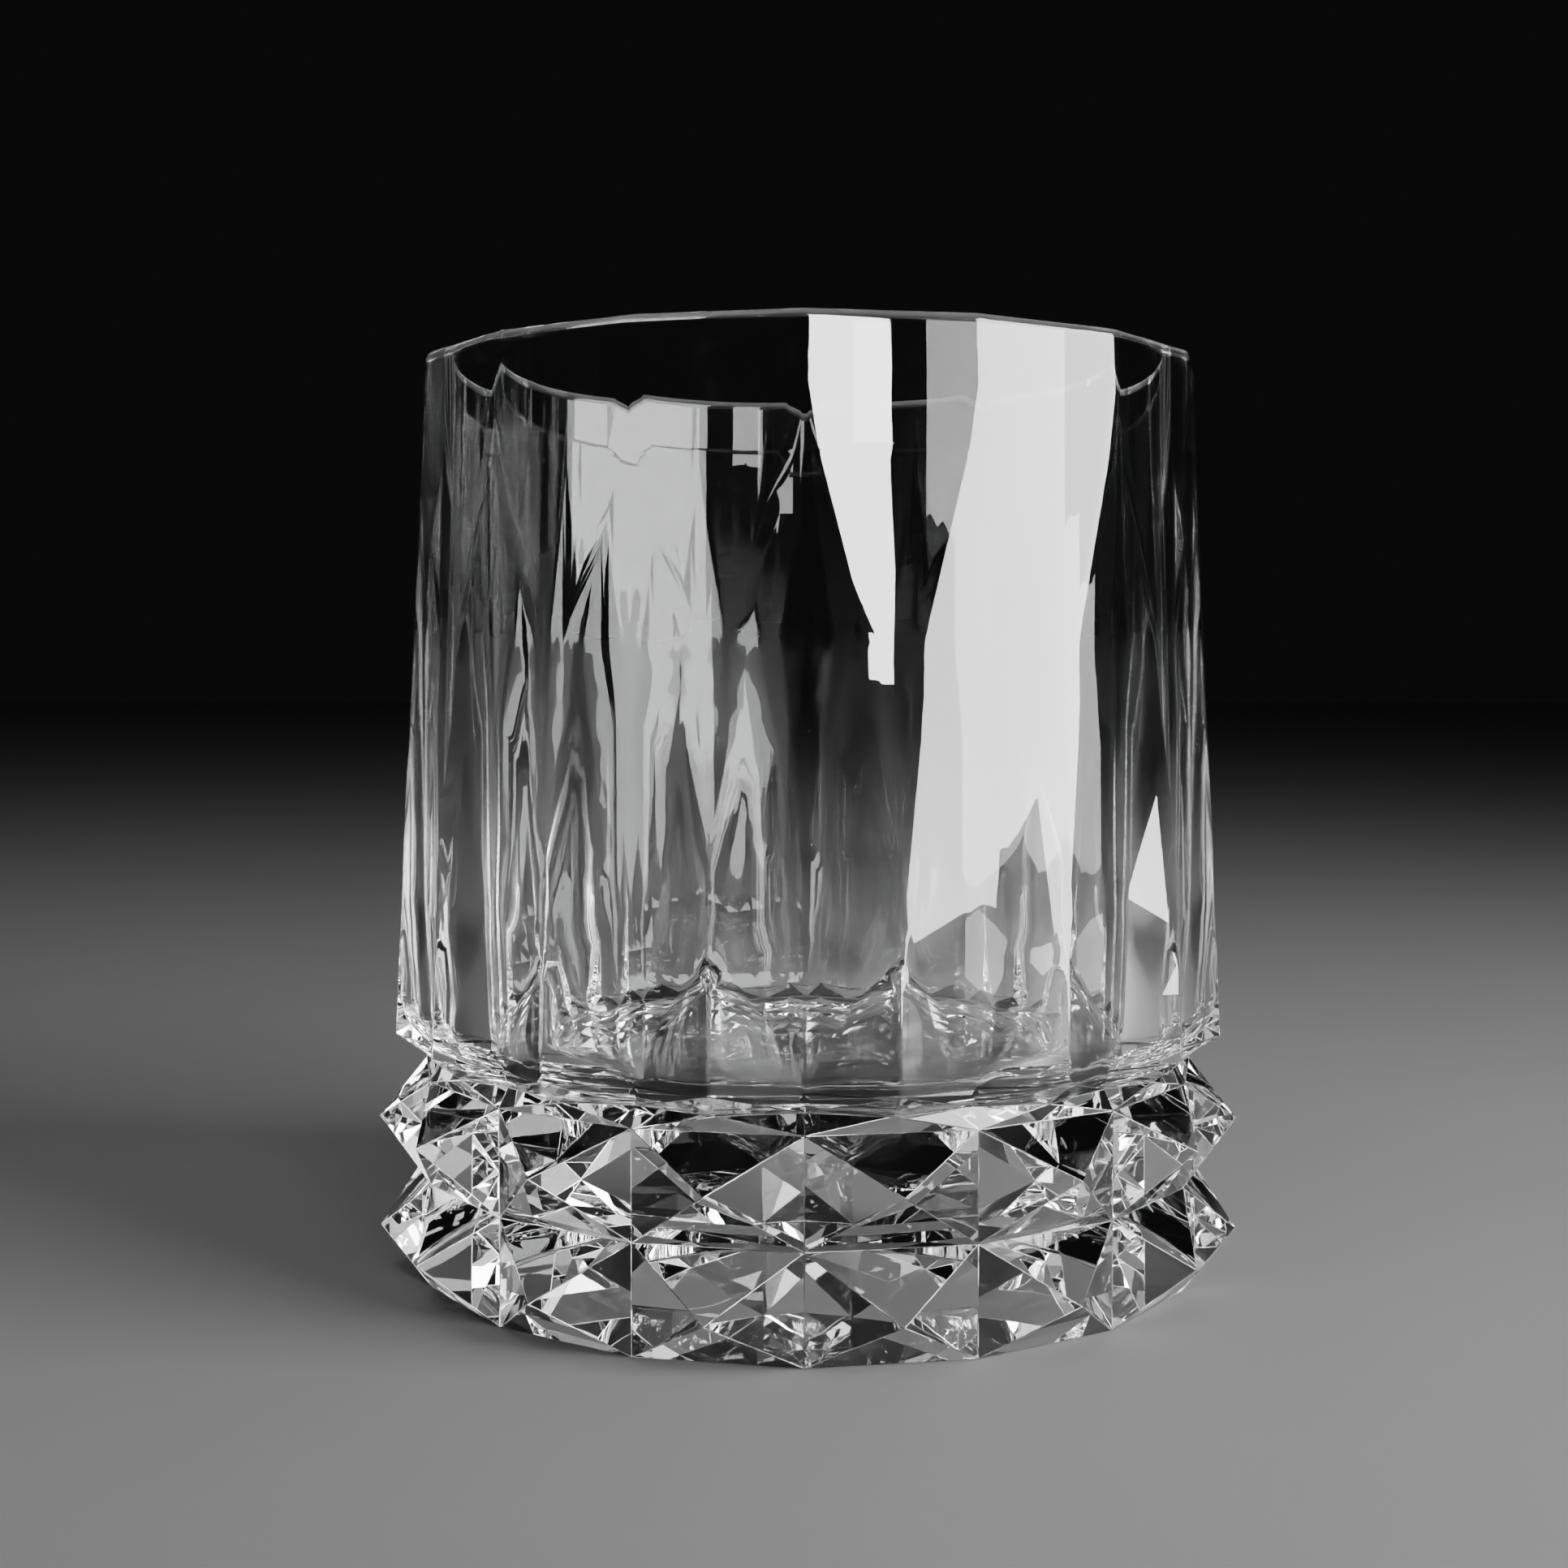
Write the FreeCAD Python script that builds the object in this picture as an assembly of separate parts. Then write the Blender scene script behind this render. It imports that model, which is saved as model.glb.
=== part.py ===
import FreeCAD, Part
import math
import os

# Whiskey tumbler, pressed in one piece from clear glass.
# Millimetres, +Z up, origin at the centre of the underside, one corner of the foot toward -Y.
# A "turn" counts sectors round the axis: whole turns are corner lines, half turns are ridge lines.

SECTORS = 16
HEIGHT = 95.0

# Foot: two stacked rows of pyramids on a sixteen-sided drum.
FOOT_CORNER_RADIUS = 41.4
FOOT_APEX_RADIUS = 45.75
LOWER_APEX_HEIGHT = 4.8
FOOT_MID_HEIGHT = 10.6
UPPER_APEX_HEIGHT = 16.4
FOOT_TOP_HEIGHT = 21.15

# Neck: the waist between the foot and the flared skirt of the body.
NECK_CORNER_RADIUS = 40.3
NECK_CORNER_HEIGHT = 23.1
NECK_RIDGE_RADIUS = 40.9
NECK_RIDGE_HEIGHT = 22.7

# Skirt: a sharp ridge on every half turn with a valley between neighbours.
SKIRT_HEIGHT = 25.0
RIDGE_FOOT_RADIUS = 44.08
VALLEY_FOOT_RADIUS = 40.85
VALLEY_TOP_HEIGHT = 41.2
VALLEY_TOP_RADIUS = 41.7

# Wall panels, one per half turn, given by their distance from the axis at three heights.
PANEL_FOOT_HEIGHT = 36.6
PANEL_FOOT_APOTHEM = 43.57
SHOULDER_HEIGHT = 82.4
SHOULDER_APOTHEM = 40.93
RIM_APOTHEM = 40.45

# Spear facets, one per whole turn, which narrow upward to a tip on the corner line.
SPEAR_TIP_HEIGHT = 91.5
SPEAR_HALF_TURN = 0.37
SPEAR_UPPER_HEIGHT = 65.4
SPEAR_LOWER_HEIGHT = 55.0

# Rim and cavity.
RIM_CHAMFER = 0.6
CAVITY_RIM_RADIUS = 38.65
CAVITY_FLOOR_RADIUS = 38.6
CAVITY_FLOOR_HEIGHT = 23.4
CAVITY_CORNER_RADIUS = 4.5
LIP_ROUNDING = 0.8

SECTOR_ANGLE = 2.0 * math.pi / SECTORS
HALF_SECTOR = 0.5 * SECTOR_ANGLE
RIDGE = 0.5
CORNER = 0.0


def at(turn, radius, height):
    """A point as (turn, radius, height), the form every facet is written in."""
    return (turn, radius, height)


def blend(low_height, low_value, high_height, high_value, height):
    """The value at a height on the straight line through two known heights."""
    share = (height - low_height) / (high_height - low_height)
    return low_value + share * (high_value - low_value)


def upper_panel(height):
    return blend(SHOULDER_HEIGHT, SHOULDER_APOTHEM, HEIGHT, RIM_APOTHEM, height)


def lower_panel(height):
    return blend(PANEL_FOOT_HEIGHT, PANEL_FOOT_APOTHEM, SHOULDER_HEIGHT, SHOULDER_APOTHEM, height)


def on_panel(apothem, turn):
    """Radius at which a wall panel is met at a turn between 0 and its own half turn."""
    return apothem / math.cos((RIDGE - turn) * SECTOR_ANGLE)


def spear_apothem(height):
    """Distance of a spear facet from the axis where it meets the panel at the spear's half turn."""
    radius = on_panel(lower_panel(height), SPEAR_HALF_TURN)
    return radius * math.cos(SPEAR_HALF_TURN * SECTOR_ANGLE)


def shoulder_turn(spear):
    """Turn at which the shoulder line of a wall panel runs into the spear plane."""
    tangent = (SHOULDER_APOTHEM / spear - math.cos(HALF_SECTOR)) / math.sin(HALF_SECTOR)
    return math.atan(tangent) / SECTOR_ANGLE


def body_facets():
    """Facets of the body from the skirt to the rim, over the first half sector."""
    chamfer_height = HEIGHT - RIM_CHAMFER
    rim_corner = on_panel(upper_panel(chamfer_height), CORNER)
    rim_middle = upper_panel(chamfer_height)
    tip_radius = on_panel(upper_panel(SPEAR_TIP_HEIGHT), CORNER)
    spear_shoulder = blend(SPEAR_UPPER_HEIGHT, spear_apothem(SPEAR_UPPER_HEIGHT),
                           SPEAR_TIP_HEIGHT, tip_radius, SHOULDER_HEIGHT)
    meet = shoulder_turn(spear_shoulder)

    lip_corner = at(CORNER, (RIM_APOTHEM - RIM_CHAMFER) / math.cos(HALF_SECTOR), HEIGHT)
    lip_middle = at(RIDGE, RIM_APOTHEM - RIM_CHAMFER, HEIGHT)
    edge_corner = at(CORNER, rim_corner, chamfer_height)
    edge_middle = at(RIDGE, rim_middle, chamfer_height)
    tip = at(CORNER, tip_radius, SPEAR_TIP_HEIGHT)
    shoulder_side = at(meet, on_panel(SHOULDER_APOTHEM, meet), SHOULDER_HEIGHT)
    shoulder_middle = at(RIDGE, SHOULDER_APOTHEM, SHOULDER_HEIGHT)
    upper_side = at(SPEAR_HALF_TURN, on_panel(lower_panel(SPEAR_UPPER_HEIGHT), SPEAR_HALF_TURN),
                    SPEAR_UPPER_HEIGHT)
    lower_side = at(SPEAR_HALF_TURN, on_panel(lower_panel(SPEAR_LOWER_HEIGHT), SPEAR_HALF_TURN),
                    SPEAR_LOWER_HEIGHT)
    upper_middle = at(CORNER, spear_apothem(SPEAR_UPPER_HEIGHT), SPEAR_UPPER_HEIGHT)
    panel_foot = at(RIDGE, PANEL_FOOT_APOTHEM, PANEL_FOOT_HEIGHT)
    valley_top = at(CORNER, VALLEY_TOP_RADIUS, VALLEY_TOP_HEIGHT)
    valley_foot = at(CORNER, VALLEY_FOOT_RADIUS, SKIRT_HEIGHT)
    ridge_foot = at(RIDGE, RIDGE_FOOT_RADIUS, SKIRT_HEIGHT)

    return [
        [lip_corner, edge_corner, edge_middle, lip_middle],
        [edge_corner, tip, shoulder_side, shoulder_middle, edge_middle],
        [shoulder_side, upper_side, lower_side, panel_foot, shoulder_middle],
        [tip, upper_middle, upper_side, shoulder_side],
        [upper_middle, lower_side, upper_side],
        [upper_middle, valley_top, lower_side],
        [lower_side, valley_top, panel_foot],
        [valley_top, valley_foot, panel_foot],
        [valley_foot, ridge_foot, panel_foot],
    ]


def neck_facets():
    """Facets from the underside of the skirt to the top of the foot, over the first half sector."""
    foot_middle_radius = FOOT_CORNER_RADIUS * math.cos(HALF_SECTOR)
    valley_foot = at(CORNER, VALLEY_FOOT_RADIUS, SKIRT_HEIGHT)
    ridge_foot = at(RIDGE, RIDGE_FOOT_RADIUS, SKIRT_HEIGHT)
    neck_corner = at(CORNER, NECK_CORNER_RADIUS, NECK_CORNER_HEIGHT)
    neck_ridge = at(RIDGE, NECK_RIDGE_RADIUS, NECK_RIDGE_HEIGHT)
    foot_corner = at(CORNER, FOOT_CORNER_RADIUS, FOOT_TOP_HEIGHT)
    foot_middle = at(RIDGE, foot_middle_radius, FOOT_TOP_HEIGHT)
    return [
        [valley_foot, neck_corner, ridge_foot],
        [ridge_foot, neck_corner, neck_ridge],
        [neck_corner, foot_corner, neck_ridge],
        [neck_ridge, foot_corner, foot_middle],
    ]


def pyramid_facets(top_height, apex_height, bottom_height):
    """Half of one four-sided pyramid of the foot, over the first half sector."""
    middle_radius = FOOT_CORNER_RADIUS * math.cos(HALF_SECTOR)
    top_corner = at(CORNER, FOOT_CORNER_RADIUS, top_height)
    top_middle = at(RIDGE, middle_radius, top_height)
    bottom_corner = at(CORNER, FOOT_CORNER_RADIUS, bottom_height)
    bottom_middle = at(RIDGE, middle_radius, bottom_height)
    apex = at(RIDGE, FOOT_APEX_RADIUS, apex_height)
    return [
        [top_corner, apex, top_middle],
        [top_corner, bottom_corner, apex],
        [bottom_corner, bottom_middle, apex],
    ]


def cap_facets():
    """The flat underside and the flat top of the blank, over the first half sector."""
    middle_radius = FOOT_CORNER_RADIUS * math.cos(HALF_SECTOR)
    lip_apothem = RIM_APOTHEM - RIM_CHAMFER
    return [
        [at(CORNER, FOOT_CORNER_RADIUS, 0.0), at(RIDGE, middle_radius, 0.0), at(CORNER, 0.0, 0.0)],
        [at(CORNER, lip_apothem / math.cos(HALF_SECTOR), HEIGHT), at(RIDGE, lip_apothem, HEIGHT),
         at(CORNER, 0.0, HEIGHT)],
    ]


def placed(facet, sector, side):
    """One facet as a planar face, in a sector and on one side of its corner line."""
    points = []
    for turn, radius, height in facet:
        angle = (sector + side * turn) * SECTOR_ANGLE
        points.append(FreeCAD.Vector(radius * math.sin(angle), -radius * math.cos(angle), height))
    points.append(points[0])
    return Part.Face(Part.makePolygon(points))


def faceted_blank():
    """The outside of the tumbler as one closed solid, before the cavity is taken out."""
    half_sector = body_facets() + neck_facets() + cap_facets()
    half_sector += pyramid_facets(FOOT_TOP_HEIGHT, UPPER_APEX_HEIGHT, FOOT_MID_HEIGHT)
    half_sector += pyramid_facets(FOOT_MID_HEIGHT, LOWER_APEX_HEIGHT, 0.0)
    faces = []
    for sector in range(SECTORS):
        for side in (-1, 1):
            for facet in half_sector:
                faces.append(placed(facet, sector, side))
    shell = Part.makeShell(faces)
    shell.sewShape()
    blank = Part.makeSolid(shell)
    if blank.Volume < 0.0:
        blank.reverse()
    return blank.removeSplitter()


def cavity():
    """The round inside, turned about the axis, with a rounded floor corner and a rounded lip."""
    wall_foot_height = CAVITY_FLOOR_HEIGHT + CAVITY_CORNER_RADIUS
    lip_start_height = HEIGHT - LIP_ROUNDING
    diagonal = math.sqrt(0.5)
    floor_centre = FreeCAD.Vector(0.0, 0.0, CAVITY_FLOOR_HEIGHT)
    floor_edge = FreeCAD.Vector(CAVITY_FLOOR_RADIUS - CAVITY_CORNER_RADIUS, 0.0, CAVITY_FLOOR_HEIGHT)
    corner_middle = FreeCAD.Vector(
        CAVITY_FLOOR_RADIUS - CAVITY_CORNER_RADIUS * (1.0 - diagonal),
        0.0,
        CAVITY_FLOOR_HEIGHT + CAVITY_CORNER_RADIUS * (1.0 - diagonal))
    wall_foot = FreeCAD.Vector(CAVITY_FLOOR_RADIUS, 0.0, wall_foot_height)
    lip_start = FreeCAD.Vector(CAVITY_RIM_RADIUS, 0.0, lip_start_height)
    lip_middle = FreeCAD.Vector(
        CAVITY_RIM_RADIUS + LIP_ROUNDING * (1.0 - diagonal),
        0.0,
        HEIGHT - LIP_ROUNDING * (1.0 - diagonal))
    lip_end = FreeCAD.Vector(CAVITY_RIM_RADIUS + LIP_ROUNDING, 0.0, HEIGHT)
    top_centre = FreeCAD.Vector(0.0, 0.0, HEIGHT)
    outline = Part.Wire([
        Part.makeLine(floor_centre, floor_edge),
        Part.Arc(floor_edge, corner_middle, wall_foot).toShape(),
        Part.makeLine(wall_foot, lip_start),
        Part.Arc(lip_start, lip_middle, lip_end).toShape(),
        Part.makeLine(lip_end, top_centre),
        Part.makeLine(top_centre, floor_centre),
    ])
    return Part.Face(outline).revolve(FreeCAD.Vector(0.0, 0.0, 0.0), FreeCAD.Vector(0.0, 0.0, 1.0), 360.0)


os.makedirs("parts", exist_ok=True)
tumbler = faceted_blank().cut(cavity())
if tumbler.ShapeType == "Compound" and len(tumbler.Solids) == 1:
    tumbler = tumbler.Solids[0]
tumbler.exportStep("parts/tumbler.step")
print("tumbler: faces", len(tumbler.Faces), "volume", round(tumbler.Volume, 1), "valid", tumbler.isValid())
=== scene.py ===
import math

import bmesh
import bpy
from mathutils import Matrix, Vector


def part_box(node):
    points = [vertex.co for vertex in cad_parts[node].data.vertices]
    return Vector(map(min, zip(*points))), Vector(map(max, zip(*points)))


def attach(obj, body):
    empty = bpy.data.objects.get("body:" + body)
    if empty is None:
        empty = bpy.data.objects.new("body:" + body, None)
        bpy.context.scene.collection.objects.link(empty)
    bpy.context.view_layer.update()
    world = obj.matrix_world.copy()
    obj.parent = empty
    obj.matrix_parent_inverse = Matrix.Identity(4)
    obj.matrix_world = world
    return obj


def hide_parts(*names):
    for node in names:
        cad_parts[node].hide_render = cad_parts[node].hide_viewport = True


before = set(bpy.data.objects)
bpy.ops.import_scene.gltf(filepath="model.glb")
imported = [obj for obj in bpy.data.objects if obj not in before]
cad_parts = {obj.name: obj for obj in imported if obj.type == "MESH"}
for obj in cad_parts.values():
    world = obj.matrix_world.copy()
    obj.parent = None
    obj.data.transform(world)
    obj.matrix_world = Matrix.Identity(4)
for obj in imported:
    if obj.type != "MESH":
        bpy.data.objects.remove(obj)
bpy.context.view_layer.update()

# A pressed-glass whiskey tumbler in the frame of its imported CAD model, in metres, +Z up.
# Every size is a share of the CAD model's height, so the glass follows the frame if that changes.
# A "turn" counts sectors round the axis: whole turns are corner lines, half turns are ridge lines.

NODE = "tumbler"
BODY = "root"
LOW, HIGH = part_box(NODE)
TABLE = LOW.z
HEIGHT = HIGH.z - LOW.z
DESIGN_HEIGHT = 95.0
UNIT = HEIGHT / DESIGN_HEIGHT  # one millimetre of the design, in metres

SECTORS = 16
SECTOR_ANGLE = 2.0 * math.pi / SECTORS
HALF_SECTOR = 0.5 * SECTOR_ANGLE
CORNER = 0.0
RIDGE = 0.5

# The shape, in millimetres of the design.
# Foot: two rows of pyramids.
FOOT_CORNER_RADIUS = 41.4
FOOT_APEX_RADIUS = 45.75
LOWER_APEX_HEIGHT = 4.8
FOOT_MID_HEIGHT = 10.6
UPPER_APEX_HEIGHT = 16.4
FOOT_TOP_HEIGHT = 21.15

# Neck and skirt.
NECK_CORNER_RADIUS = 40.3
NECK_CORNER_HEIGHT = 23.1
NECK_RIDGE_RADIUS = 40.9
NECK_RIDGE_HEIGHT = 22.7
SKIRT_HEIGHT = 25.0
RIDGE_FOOT_RADIUS = 44.08
VALLEY_FOOT_RADIUS = 40.85
VALLEY_TOP_HEIGHT = 41.2
VALLEY_TOP_RADIUS = 41.7

# Wall panels and the spear facets between them.
PANEL_FOOT_HEIGHT = 36.6
PANEL_FOOT_APOTHEM = 43.57
SHOULDER_HEIGHT = 82.4
SHOULDER_APOTHEM = 40.93
RIM_APOTHEM = 40.45
SPEAR_TIP_HEIGHT = 91.5
SPEAR_HALF_TURN = 0.37
SPEAR_UPPER_HEIGHT = 65.4
SPEAR_LOWER_HEIGHT = 55.0

# The round cavity.
CAVITY_RIM_RADIUS = 38.65
CAVITY_FLOOR_RADIUS = 38.6
CAVITY_FLOOR_HEIGHT = 23.4
CAVITY_CORNER_RADIUS = 4.5
LIP_ROUNDING = 0.8
CAVITY_SEGMENTS = 192
CORNER_STEPS = 14
WALL_STEPS = 10
LIP_STEPS = 6

# How far each kind of edge is rounded, to each side of it. A corner line runs down from the rim to the
# narrow tip of a spear facet. It is rounded there by PANEL_EDGE, like the facet's sides, because with
# SOFT_CORNER the faces at the tip fold over.
SHARP_EDGE = 0.07
RIDGE_EDGE = 0.3
PANEL_EDGE = 0.8
FLUTE_EDGE = 1.2
SOFT_CORNER = 1.8
RIM_EDGE = 0.9
FOLD_EDGE = 2.4
BEVEL_SEGMENTS = 6

# The two kinds of face: flat facets, and roundings and turned faces, which are shaded smooth.
FACET = 0
ROUNDING = 1

SAME_PLACE = 0.01  # millimetres or turns
SAME_PLANE = math.radians(0.2)
LEVEL_NORMAL = 0.999

# Glass and table. Waves, polish, clouds and tooth are noise, in features per height of the glass;
# relief is a strength and a depth, as a share of that height. Roughness and colours are ranges.
GLASS_IOR = 1.5
GLASS_COLORS = ((0.985, 0.99, 0.99), (0.975, 0.985, 0.982))
GLASS_WAVES = 7.0
GLASS_POLISH = 60.0
GLASS_ROUGHNESS = (0.0, 0.012)
GLASS_RELIEF = (0.25, 0.0008)
TABLE_COLORS = ((0.49, 0.49, 0.49), (0.51, 0.51, 0.51))
TABLE_CLOUDS = 2.0
TABLE_TOOTH = 160.0
TABLE_ROUGHNESS = (0.66, 0.76)
TABLE_RELIEF = (0.15, 0.0006)
TABLE_HALF_SIZE = 60.0
TABLE_GAP = 0.0005
NOISE_LOW = 0.3
NOISE_HIGH = 0.7

# Lights. Lengths are in heights of the glass, but the strip's width and ends are shares of its
# distance. Azimuths are in degrees from -Y toward +X. The light for the table stands as far off and
# as high as the broad softbox.
WORLD_STRENGTH = 0.0022
BROAD_AZIMUTH = 61.2
BROAD_DISTANCE = 4.5
BROAD_WIDTH = 3.75
BROAD_TOP = 4.4
BROAD_RADIANCE = 23.0
STRIP_AZIMUTH = 15.7
STRIP_DISTANCE = 5.5
STRIP_WIDTH = 0.272
STRIP_BOTTOM = 0.22
STRIP_TOP = 0.9
STRIP_RADIANCE = 42.0
FLOOR_LIGHT_AZIMUTH = 62.5
FLOOR_LIGHT_WIDTH = 3.6
FLOOR_LIGHT_RADIANCE = 3.7
OVERHEAD_SIZE = 6.0
OVERHEAD_PLACE = (-1.0, -1.5, 6.0)
OVERHEAD_RADIANCE = 0.45

# Camera. Its place is in heights of the glass from the middle of the underside, angles in degrees.
CAMERA_PLACE = (0.0155, -2.464, 0.6545)
CAMERA_TILT = 87.22
CAMERA_TURN = 0.98
LENS = 49.76
SENSOR_WIDTH = 36.0

BOUNCES = 32
GLOSSY_BOUNCES = 24


# --- the faceted outside -------------------------------------------------------------------------

def blend(low_height, low_value, high_height, high_value, height):
    """The value at a height on the straight line through two known heights."""
    share = (height - low_height) / (high_height - low_height)
    return low_value + share * (high_value - low_value)


def upper_panel(height):
    """Distance of a wall panel from the axis, above the shoulder."""
    return blend(SHOULDER_HEIGHT, SHOULDER_APOTHEM, DESIGN_HEIGHT, RIM_APOTHEM, height)


def lower_panel(height):
    """Distance of a wall panel from the axis, below the shoulder."""
    return blend(PANEL_FOOT_HEIGHT, PANEL_FOOT_APOTHEM, SHOULDER_HEIGHT, SHOULDER_APOTHEM, height)


def on_panel(apothem, turn):
    """Radius at which a wall panel is met at a turn between 0 and its own half turn."""
    return apothem / math.cos((RIDGE - turn) * SECTOR_ANGLE)


def spear_apothem(height):
    """Distance of a spear facet from the axis where it meets the panel at the spear's half turn."""
    radius = on_panel(lower_panel(height), SPEAR_HALF_TURN)
    return radius * math.cos(SPEAR_HALF_TURN * SECTOR_ANGLE)


def shoulder_turn(spear):
    """Turn at which the shoulder line of a wall panel runs into the spear plane."""
    tangent = (SHOULDER_APOTHEM / spear - math.cos(HALF_SECTOR)) / math.sin(HALF_SECTOR)
    return math.atan(tangent) / SECTOR_ANGLE


def body_facets():
    """Facets from the skirt to the rim, over the first half sector, as (turn, radius, height)."""
    tip_radius = on_panel(upper_panel(SPEAR_TIP_HEIGHT), CORNER)
    spear_shoulder = blend(SPEAR_UPPER_HEIGHT, spear_apothem(SPEAR_UPPER_HEIGHT),
                           SPEAR_TIP_HEIGHT, tip_radius, SHOULDER_HEIGHT)
    meet = shoulder_turn(spear_shoulder)
    rim_corner = (CORNER, on_panel(RIM_APOTHEM, CORNER), DESIGN_HEIGHT)
    rim_middle = (RIDGE, RIM_APOTHEM, DESIGN_HEIGHT)
    tip = (CORNER, tip_radius, SPEAR_TIP_HEIGHT)
    shoulder_side = (meet, on_panel(SHOULDER_APOTHEM, meet), SHOULDER_HEIGHT)
    shoulder_middle = (RIDGE, SHOULDER_APOTHEM, SHOULDER_HEIGHT)
    upper_side = (SPEAR_HALF_TURN, on_panel(lower_panel(SPEAR_UPPER_HEIGHT), SPEAR_HALF_TURN),
                  SPEAR_UPPER_HEIGHT)
    lower_side = (SPEAR_HALF_TURN, on_panel(lower_panel(SPEAR_LOWER_HEIGHT), SPEAR_HALF_TURN),
                  SPEAR_LOWER_HEIGHT)
    upper_middle = (CORNER, spear_apothem(SPEAR_UPPER_HEIGHT), SPEAR_UPPER_HEIGHT)
    panel_foot = (RIDGE, PANEL_FOOT_APOTHEM, PANEL_FOOT_HEIGHT)
    valley_top = (CORNER, VALLEY_TOP_RADIUS, VALLEY_TOP_HEIGHT)
    valley_foot = (CORNER, VALLEY_FOOT_RADIUS, SKIRT_HEIGHT)
    ridge_foot = (RIDGE, RIDGE_FOOT_RADIUS, SKIRT_HEIGHT)
    return [
        [rim_corner, tip, shoulder_side, shoulder_middle, rim_middle],
        [shoulder_side, upper_side, lower_side, panel_foot, shoulder_middle],
        [tip, upper_middle, upper_side, shoulder_side],
        [upper_middle, lower_side, upper_side],
        [upper_middle, valley_top, lower_side],
        [lower_side, valley_top, panel_foot],
        [valley_top, valley_foot, panel_foot],
        [valley_foot, ridge_foot, panel_foot],
    ]


def neck_facets():
    """Facets from the underside of the skirt to the top of the foot, over the first half sector."""
    valley_foot = (CORNER, VALLEY_FOOT_RADIUS, SKIRT_HEIGHT)
    ridge_foot = (RIDGE, RIDGE_FOOT_RADIUS, SKIRT_HEIGHT)
    neck_corner = (CORNER, NECK_CORNER_RADIUS, NECK_CORNER_HEIGHT)
    neck_ridge = (RIDGE, NECK_RIDGE_RADIUS, NECK_RIDGE_HEIGHT)
    foot_corner = (CORNER, FOOT_CORNER_RADIUS, FOOT_TOP_HEIGHT)
    foot_middle = (RIDGE, FOOT_CORNER_RADIUS * math.cos(HALF_SECTOR), FOOT_TOP_HEIGHT)
    return [
        [valley_foot, neck_corner, ridge_foot],
        [ridge_foot, neck_corner, neck_ridge],
        [neck_corner, foot_corner, neck_ridge],
        [neck_ridge, foot_corner, foot_middle],
    ]


def pyramid_facets(top_height, apex_height, bottom_height):
    """Half of one four-sided pyramid of the foot, over the first half sector."""
    middle_radius = FOOT_CORNER_RADIUS * math.cos(HALF_SECTOR)
    top_corner = (CORNER, FOOT_CORNER_RADIUS, top_height)
    top_middle = (RIDGE, middle_radius, top_height)
    bottom_corner = (CORNER, FOOT_CORNER_RADIUS, bottom_height)
    bottom_middle = (RIDGE, middle_radius, bottom_height)
    apex = (RIDGE, FOOT_APEX_RADIUS, apex_height)
    return [
        [top_corner, apex, top_middle],
        [top_corner, bottom_corner, apex],
        [bottom_corner, bottom_middle, apex],
    ]


def end_facets():
    """The underside and the lid, which is there until the cavity opens it, over the first half sector."""
    middle_radius = FOOT_CORNER_RADIUS * math.cos(HALF_SECTOR)
    return [
        [(CORNER, FOOT_CORNER_RADIUS, 0.0), (RIDGE, middle_radius, 0.0), (CORNER, 0.0, 0.0)],
        [(CORNER, on_panel(RIM_APOTHEM, CORNER), DESIGN_HEIGHT),
         (RIDGE, RIM_APOTHEM, DESIGN_HEIGHT),
         (CORNER, 0.0, DESIGN_HEIGHT)],
    ]


def placed(point, sector, side):
    """A (turn, radius, height) point of the design, in metres, in one sector."""
    turn, radius, height = point
    angle = (sector + side * turn) * SECTOR_ANGLE
    return Vector((radius * UNIT * math.sin(angle),
                   -radius * UNIT * math.cos(angle),
                   TABLE + height * UNIT))


def turn_of(point):
    """How far round a point stands, as the distance in turns from the nearest corner line."""
    turns = math.atan2(point.x, -point.y) / SECTOR_ANGLE
    return abs(turns - round(turns))


def edge_rounding(edge):
    """How far an edge is rounded, in millimetres of the design."""
    first, second = (vertex.co for vertex in edge.verts)
    low, high = sorted(((first.z - TABLE) / UNIT, (second.z - TABLE) / UNIT))
    near = SAME_PLACE
    on_corner = turn_of(first) < near and turn_of(second) < near
    on_ridge = turn_of(first) > RIDGE - near and turn_of(second) > RIDGE - near
    if low > DESIGN_HEIGHT - near:
        return RIM_EDGE
    if low < SKIRT_HEIGHT - near or high < SKIRT_HEIGHT + near:
        return SHARP_EDGE
    if on_ridge:
        return RIDGE_EDGE
    if on_corner:
        return PANEL_EDGE if low > SPEAR_LOWER_HEIGHT else SOFT_CORNER
    if abs(high - SPEAR_UPPER_HEIGHT) < near and min(turn_of(first), turn_of(second)) < near:
        return FOLD_EDGE
    if low > SPEAR_LOWER_HEIGHT - near:
        return PANEL_EDGE
    return FLUTE_EDGE


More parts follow.
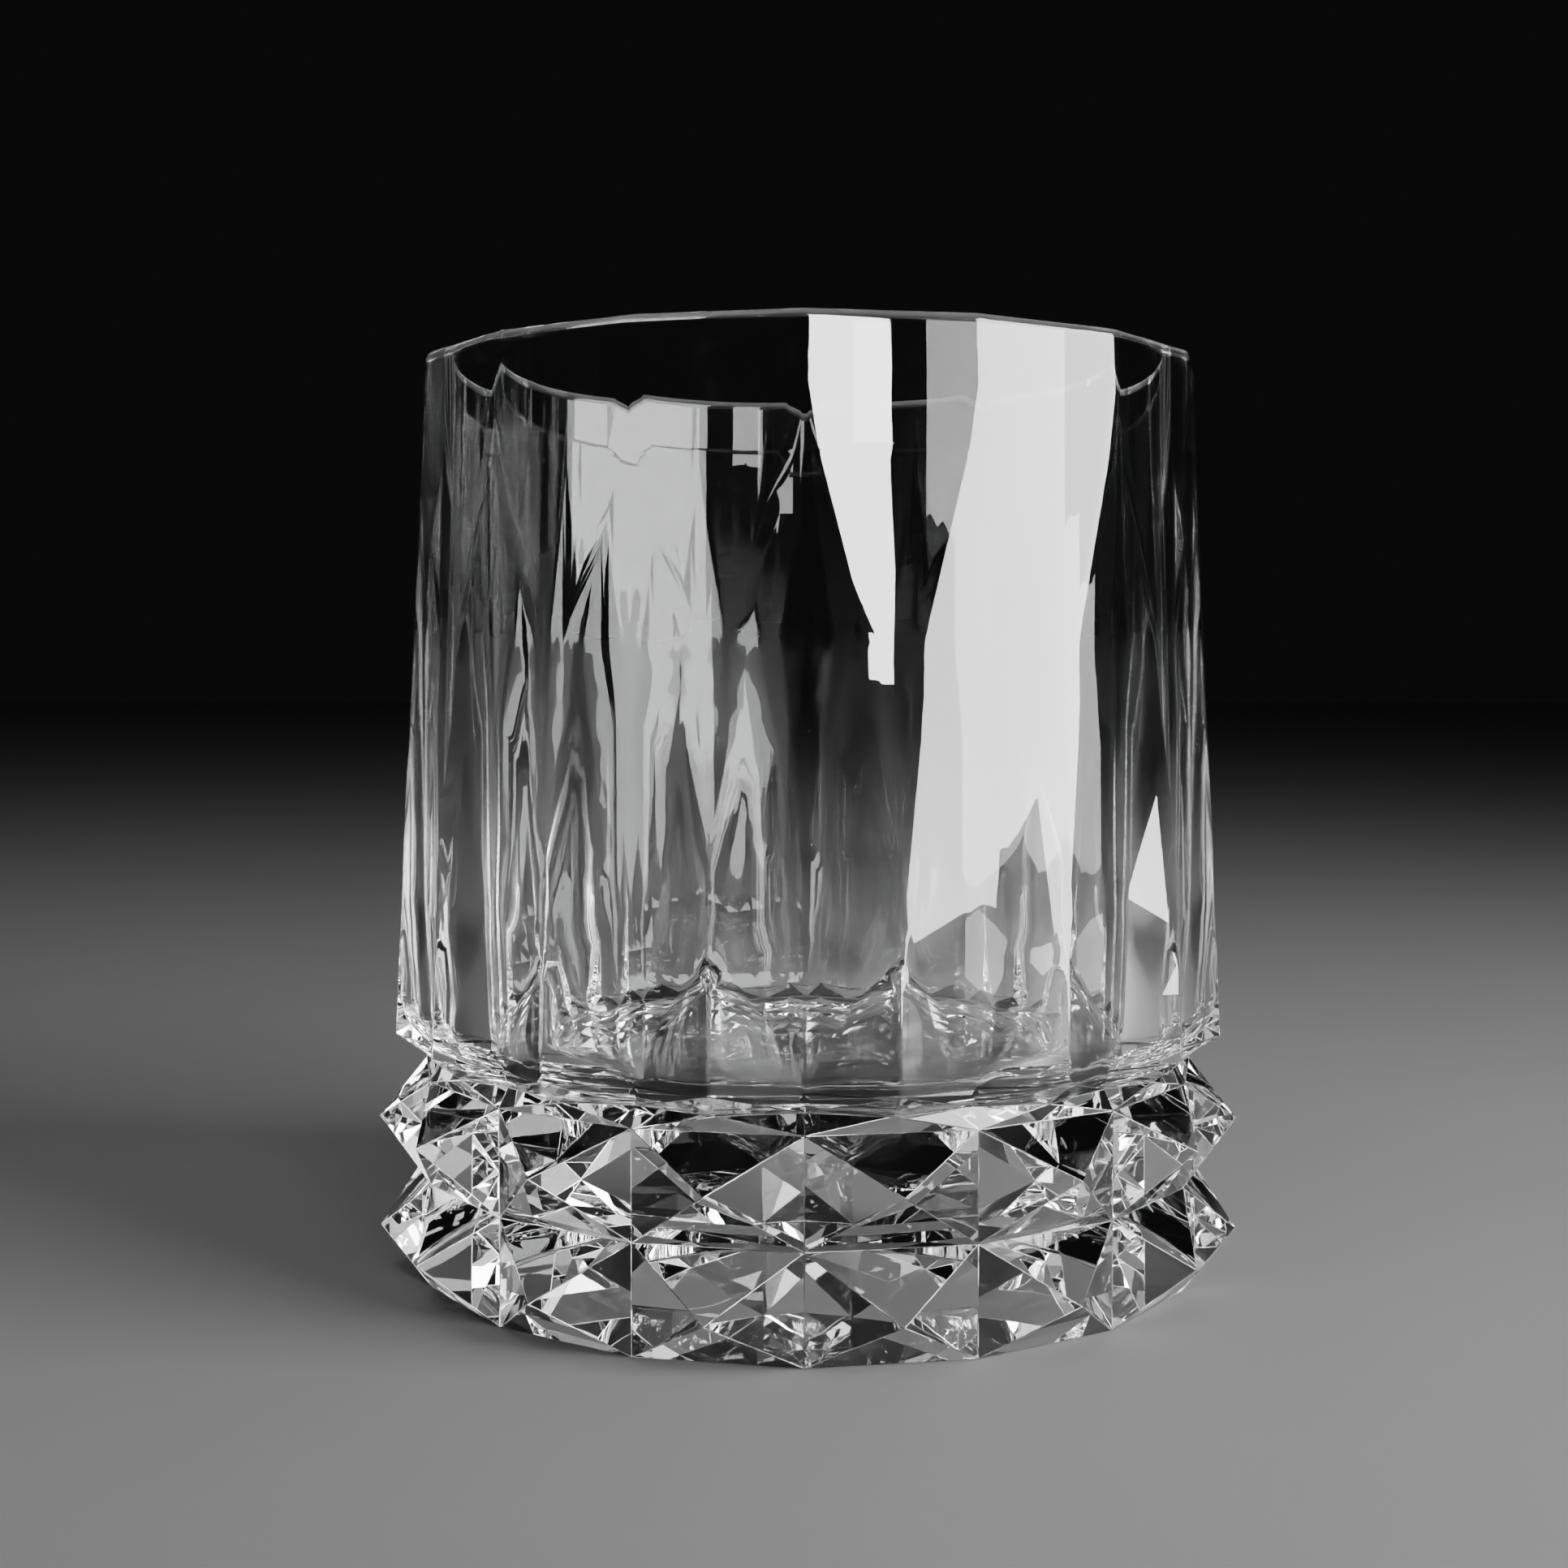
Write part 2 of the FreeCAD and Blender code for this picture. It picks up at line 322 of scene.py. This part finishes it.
def rounded_blank():
    """The faceted outside, closed at the top, with every edge rounded by its own amount."""
    half_sector = body_facets() + neck_facets() + end_facets()
    half_sector += pyramid_facets(FOOT_TOP_HEIGHT, UPPER_APEX_HEIGHT, FOOT_MID_HEIGHT)
    half_sector += pyramid_facets(FOOT_MID_HEIGHT, LOWER_APEX_HEIGHT, 0.0)
    bm = bmesh.new()
    for sector in range(SECTORS):
        for side in (-1, 1):
            for facet in half_sector:
                bm.faces.new([bm.verts.new(placed(point, sector, side)) for point in facet])
    bmesh.ops.remove_doubles(bm, verts=bm.verts, dist=SAME_PLACE * UNIT)
    bmesh.ops.recalc_face_normals(bm, faces=bm.faces)
    spare = [edge for edge in bm.edges if edge.calc_face_angle() < SAME_PLANE]
    bmesh.ops.dissolve_edges(bm, edges=spare, use_verts=True, use_face_split=False)
    weights = bm.edges.layers.float.new("bevel_weight_edge")
    for edge in bm.edges:
        edge[weights] = edge_rounding(edge) / FOLD_EDGE
    mesh = bpy.data.meshes.new("sharp_blank")
    bm.to_mesh(mesh)
    bm.free()
    sharp = bpy.data.objects.new("sharp_blank", mesh)
    bpy.context.scene.collection.objects.link(sharp)
    mesh.materials.append(None)
    mesh.materials.append(None)
    bevel = sharp.modifiers.new("roundings", "BEVEL")
    bevel.limit_method = "WEIGHT"
    bevel.offset_type = "OFFSET"
    bevel.width = FOLD_EDGE * UNIT
    bevel.segments = BEVEL_SEGMENTS
    bevel.material = ROUNDING
    bevel.use_clamp_overlap = False
    depsgraph = bpy.context.evaluated_depsgraph_get()
    rounded = bpy.data.meshes.new_from_object(sharp.evaluated_get(depsgraph))
    bpy.data.objects.remove(sharp)
    return rounded


def cavity_profile():
    """Radii and heights from the lip down the wall and round to the flat of the floor."""
    profile = []
    for step in range(LIP_STEPS + 1):
        angle = 0.5 * math.pi * step / LIP_STEPS
        profile.append((CAVITY_RIM_RADIUS + LIP_ROUNDING * (1.0 - math.sin(angle)),
                        DESIGN_HEIGHT - LIP_ROUNDING * (1.0 - math.cos(angle))))
    wall_top = DESIGN_HEIGHT - LIP_ROUNDING
    wall_foot = CAVITY_FLOOR_HEIGHT + CAVITY_CORNER_RADIUS
    for step in range(1, WALL_STEPS):
        height = wall_top + (wall_foot - wall_top) * step / WALL_STEPS
        radius = blend(wall_foot, CAVITY_FLOOR_RADIUS, wall_top, CAVITY_RIM_RADIUS, height)
        profile.append((radius, height))
    for step in range(CORNER_STEPS + 1):
        angle = 0.5 * math.pi * step / CORNER_STEPS
        profile.append((CAVITY_FLOOR_RADIUS - CAVITY_CORNER_RADIUS * (1.0 - math.cos(angle)),
                        wall_foot - CAVITY_CORNER_RADIUS * math.sin(angle)))
    return profile


def add_cavity(bm):
    """Adds the round inside, facing the drink, and gives back the ring of its lip."""
    rings = []
    for radius, height in cavity_profile():
        rings.append([bm.verts.new(placed((SECTORS * step / CAVITY_SEGMENTS, radius, height), 0, 1))
                      for step in range(CAVITY_SEGMENTS)])
    for upper, lower in zip(rings, rings[1:]):
        for step in range(CAVITY_SEGMENTS):
            after = (step + 1) % CAVITY_SEGMENTS
            face = bm.faces.new([upper[after], upper[step], lower[step], lower[after]])
            face.material_index = ROUNDING
    floor_middle = bm.verts.new(placed((0.0, 0.0, CAVITY_FLOOR_HEIGHT), 0, 1))
    floor = rings[-1]
    for step in range(CAVITY_SEGMENTS):
        face = bm.faces.new([floor[(step + 1) % CAVITY_SEGMENTS], floor[step], floor_middle])
        face.material_index = ROUNDING
    return rings[0]


def direction_of(point):
    """Direction of a point round the axis, in sectors from 0 to SECTORS."""
    return math.atan2(point.x, -point.y) / SECTOR_ANGLE % SECTORS


def unrolled(ring, step):
    """Direction of the vertex at a step along a ring, which keeps growing past a full turn."""
    return direction_of(ring[step % len(ring)].co) + SECTORS * (step // len(ring))


def close_rim(bm, lip):
    """Takes the lid off the blank and fills the flat ring between its edge and the lip."""
    level = [face for face in bm.faces if face.normal.z > LEVEL_NORMAL]
    lid = max(level, key=lambda face: face.calc_area())
    outer = sorted(lid.verts, key=lambda vertex: direction_of(vertex.co))
    inner = sorted(lip, key=lambda vertex: direction_of(vertex.co))
    bmesh.ops.delete(bm, geom=[lid], context="FACES_ONLY")
    out_step = 0
    in_step = 0
    while out_step < len(outer) or in_step < len(inner):
        here_out = outer[out_step % len(outer)]
        here_in = inner[in_step % len(inner)]
        next_out = outer[(out_step + 1) % len(outer)]
        next_in = inner[(in_step + 1) % len(inner)]
        out_share = unrolled(outer, out_step + 1)
        in_share = unrolled(inner, in_step + 1)
        if in_step >= len(inner) or (out_step < len(outer) and out_share < in_share):
            bm.faces.new([here_out, next_out, here_in])
            out_step += 1
        else:
            bm.faces.new([here_out, next_in, here_in])
            in_step += 1


def shade(mesh, kind_of_face):
    """Sets normals: facets stay flat, and roundings and turned faces run into them smoothly."""
    facet_normals = {}
    round_normals = {}
    for face in mesh.polygons:
        kind = kind_of_face[face.index]
        for vertex in face.vertices:
            if kind == FACET:
                facet_normals.setdefault(vertex, []).append(face.normal.copy())
            weighted = round_normals.setdefault((vertex, kind), Vector((0.0, 0.0, 0.0)))
            weighted += face.normal * face.area
    normals = [None] * len(mesh.loops)
    for face in mesh.polygons:
        kind = kind_of_face[face.index]
        for loop in face.loop_indices:
            vertex = mesh.loops[loop].vertex_index
            beside = facet_normals.get(vertex, [])
            if kind == FACET:
                normal = face.normal.copy()
            elif kind == ROUNDING and beside:
                normal = max(beside, key=lambda other: other.dot(face.normal))
            else:
                normal = round_normals[(vertex, kind)].normalized()
            normals[loop] = normal
    mesh.normals_split_custom_set(normals)


def glass_mesh():
    """The one solid piece of glass."""
    mesh = rounded_blank()
    mesh.name = "pressed_glass"
    bm = bmesh.new()
    bm.from_mesh(mesh)
    bm.normal_update()
    close_rim(bm, add_cavity(bm))
    bmesh.ops.recalc_face_normals(bm, faces=bm.faces)
    open_edges = sum(1 for edge in bm.edges if not edge.is_manifold)
    print("glass faces", len(bm.faces), "open edges", open_edges)
    bm.to_mesh(mesh)
    bm.free()
    kind_of_face = [face.material_index for face in mesh.polygons]
    for face in mesh.polygons:
        face.use_smooth = True
        face.material_index = 0
    mesh.materials.clear()
    shade(mesh, kind_of_face)
    return mesh


# --- materials -----------------------------------------------------------------------------------

def new_material(name):
    """A new material with its nodes, its links and its shader."""
    material = bpy.data.materials.new(name)
    material.use_nodes = True
    nodes = material.node_tree.nodes
    links = material.node_tree.links
    return material, nodes, links, nodes["Principled BSDF"]


def grain(nodes, links, scale, detail):
    """A noise pattern fixed to the object; scale is in features per height of the glass."""
    place = nodes.new("ShaderNodeTexCoord")
    noise = nodes.new("ShaderNodeTexNoise")
    noise.inputs["Scale"].default_value = scale / HEIGHT
    noise.inputs["Detail"].default_value = detail
    links.new(place.outputs["Object"], noise.inputs["Vector"])
    return noise.outputs["Fac"]


def spread(nodes, links, value, low, high):
    """Takes a noise value to a range."""
    mapped = nodes.new("ShaderNodeMapRange")
    mapped.inputs["From Min"].default_value = NOISE_LOW
    mapped.inputs["From Max"].default_value = NOISE_HIGH
    mapped.inputs["To Min"].default_value = low
    mapped.inputs["To Max"].default_value = high
    links.new(value, mapped.inputs["Value"])
    return mapped.outputs["Result"]


def tint(nodes, links, value, first, second):
    """Two colours blended by a noise value."""
    ramp = nodes.new("ShaderNodeValToRGB")
    ramp.color_ramp.elements[0].position = NOISE_LOW
    ramp.color_ramp.elements[0].color = (*first, 1.0)
    ramp.color_ramp.elements[1].position = NOISE_HIGH
    ramp.color_ramp.elements[1].color = (*second, 1.0)
    links.new(value, ramp.inputs["Fac"])
    return ramp.outputs["Color"]


def relief(nodes, links, value, strength, depth):
    """A bump from a noise value; depth is a share of the height of the glass."""
    bump = nodes.new("ShaderNodeBump")
    bump.inputs["Strength"].default_value = strength
    bump.inputs["Distance"].default_value = depth * HEIGHT
    links.new(value, bump.inputs["Height"])
    return bump.outputs["Normal"]


def glass_material():
    """Clear pressed glass: fire-polished, with the faint unevenness that a mould leaves."""
    material, nodes, links, shader = new_material("clear_pressed_glass")
    shader.inputs["IOR"].default_value = GLASS_IOR
    shader.inputs["Transmission Weight"].default_value = 1.0
    waves = grain(nodes, links, GLASS_WAVES, 1.0)
    polish = grain(nodes, links, GLASS_POLISH, 3.0)
    links.new(tint(nodes, links, waves, *GLASS_COLORS), shader.inputs["Base Color"])
    links.new(spread(nodes, links, polish, *GLASS_ROUGHNESS), shader.inputs["Roughness"])
    links.new(relief(nodes, links, waves, *GLASS_RELIEF), shader.inputs["Normal"])
    return material


def table_material():
    """A matt pale surface with a fine tooth."""
    material, nodes, links, shader = new_material("pale_table")
    tooth = grain(nodes, links, TABLE_TOOTH, 4.0)
    clouds = grain(nodes, links, TABLE_CLOUDS, 2.0)
    links.new(tint(nodes, links, clouds, *TABLE_COLORS), shader.inputs["Base Color"])
    links.new(spread(nodes, links, tooth, *TABLE_ROUGHNESS), shader.inputs["Roughness"])
    links.new(relief(nodes, links, tooth, *TABLE_RELIEF), shader.inputs["Normal"])
    return material


# --- the studio ----------------------------------------------------------------------------------

def add_table():
    """A wide flat table, a hair below the glass."""
    size = TABLE_HALF_SIZE * HEIGHT
    top = TABLE - TABLE_GAP * HEIGHT
    bm = bmesh.new()
    corners = [(-size, -size), (size, -size), (size, size), (-size, size)]
    bm.faces.new([bm.verts.new((x, y, top)) for x, y in corners])
    mesh = bpy.data.meshes.new("table")
    bm.to_mesh(mesh)
    bm.free()
    mesh.materials.append(table_material())
    table = bpy.data.objects.new("table", mesh)
    bpy.context.scene.collection.objects.link(table)


def add_area_light(name, width, height, radiance):
    """A rectangular light that the camera doesn't see."""
    data = bpy.data.lights.new(name, "AREA")
    data.shape = "RECTANGLE"
    data.size = width
    data.size_y = height
    data.energy = radiance * math.pi * data.size * data.size_y
    light = bpy.data.objects.new(name, data)
    bpy.context.scene.collection.objects.link(light)
    light.visible_camera = False
    return light


def add_softbox(name, azimuth, distance, width, bottom, top, radiance):
    """An upright light that faces the glass, between two heights above the table."""
    light = add_area_light(name, width, top - bottom, radiance)
    angle = math.radians(azimuth)
    light.location = (distance * math.sin(angle), -distance * math.cos(angle), 0.5 * (bottom + top))
    light.rotation_euler = (math.radians(90.0), 0.0, angle)
    return light


def add_lights():
    """Two softboxes that show in the glass, and two lights that only brighten the table."""
    world = bpy.data.worlds.new("studio")
    world.use_nodes = True
    background = world.node_tree.nodes["Background"]
    background.inputs["Color"].default_value = (1.0, 1.0, 1.0, 1.0)
    background.inputs["Strength"].default_value = WORLD_STRENGTH
    bpy.context.scene.world = world
    distance = BROAD_DISTANCE * HEIGHT
    top = BROAD_TOP * HEIGHT
    broad = add_softbox("broad_softbox", BROAD_AZIMUTH, distance, BROAD_WIDTH * HEIGHT, 0.0, top,
                        BROAD_RADIANCE)
    reach = STRIP_DISTANCE * HEIGHT
    strip = add_softbox("strip_softbox", STRIP_AZIMUTH, reach, STRIP_WIDTH * reach,
                        STRIP_BOTTOM * reach, STRIP_TOP * reach, STRIP_RADIANCE)
    for light in (broad, strip):
        light.visible_diffuse = False
    floor_light = add_softbox("floor_light", FLOOR_LIGHT_AZIMUTH, distance, FLOOR_LIGHT_WIDTH * HEIGHT,
                              0.0, top, FLOOR_LIGHT_RADIANCE)
    size = OVERHEAD_SIZE * HEIGHT
    overhead = add_area_light("overhead", size, size, OVERHEAD_RADIANCE)
    overhead.location = [share * HEIGHT for share in OVERHEAD_PLACE]
    for light in (floor_light, overhead):
        light.visible_glossy = False
        light.visible_transmission = False


def add_camera():
    """Just below the middle of the wall, two and a half heights away and tipped slightly down."""
    data = bpy.data.cameras.new("camera")
    data.sensor_width = SENSOR_WIDTH
    data.lens = LENS
    camera = bpy.data.objects.new("camera", data)
    x, y, z = CAMERA_PLACE
    camera.location = (x * HEIGHT, y * HEIGHT, TABLE + z * HEIGHT)
    camera.rotation_euler = (math.radians(CAMERA_TILT), 0.0, math.radians(CAMERA_TURN))
    bpy.context.scene.collection.objects.link(camera)
    bpy.context.scene.camera = camera


def set_light_paths():
    """Enough bounces for light that crosses many walls of glass, and tones with soft highlights."""
    scene = bpy.context.scene
    scene.cycles.max_bounces = BOUNCES
    scene.cycles.transmission_bounces = BOUNCES
    scene.cycles.glossy_bounces = GLOSSY_BOUNCES
    scene.cycles.caustics_refractive = False
    scene.cycles.caustics_reflective = True
    scene.cycles.use_denoising = True
    scene.view_settings.view_transform = "Filmic"


add_camera()
set_light_paths()
add_table()
add_lights()
glass = bpy.data.objects.new("pressed_glass", glass_mesh())
bpy.context.scene.collection.objects.link(glass)
glass.data.materials.append(glass_material())
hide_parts(NODE)
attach(glass, BODY)
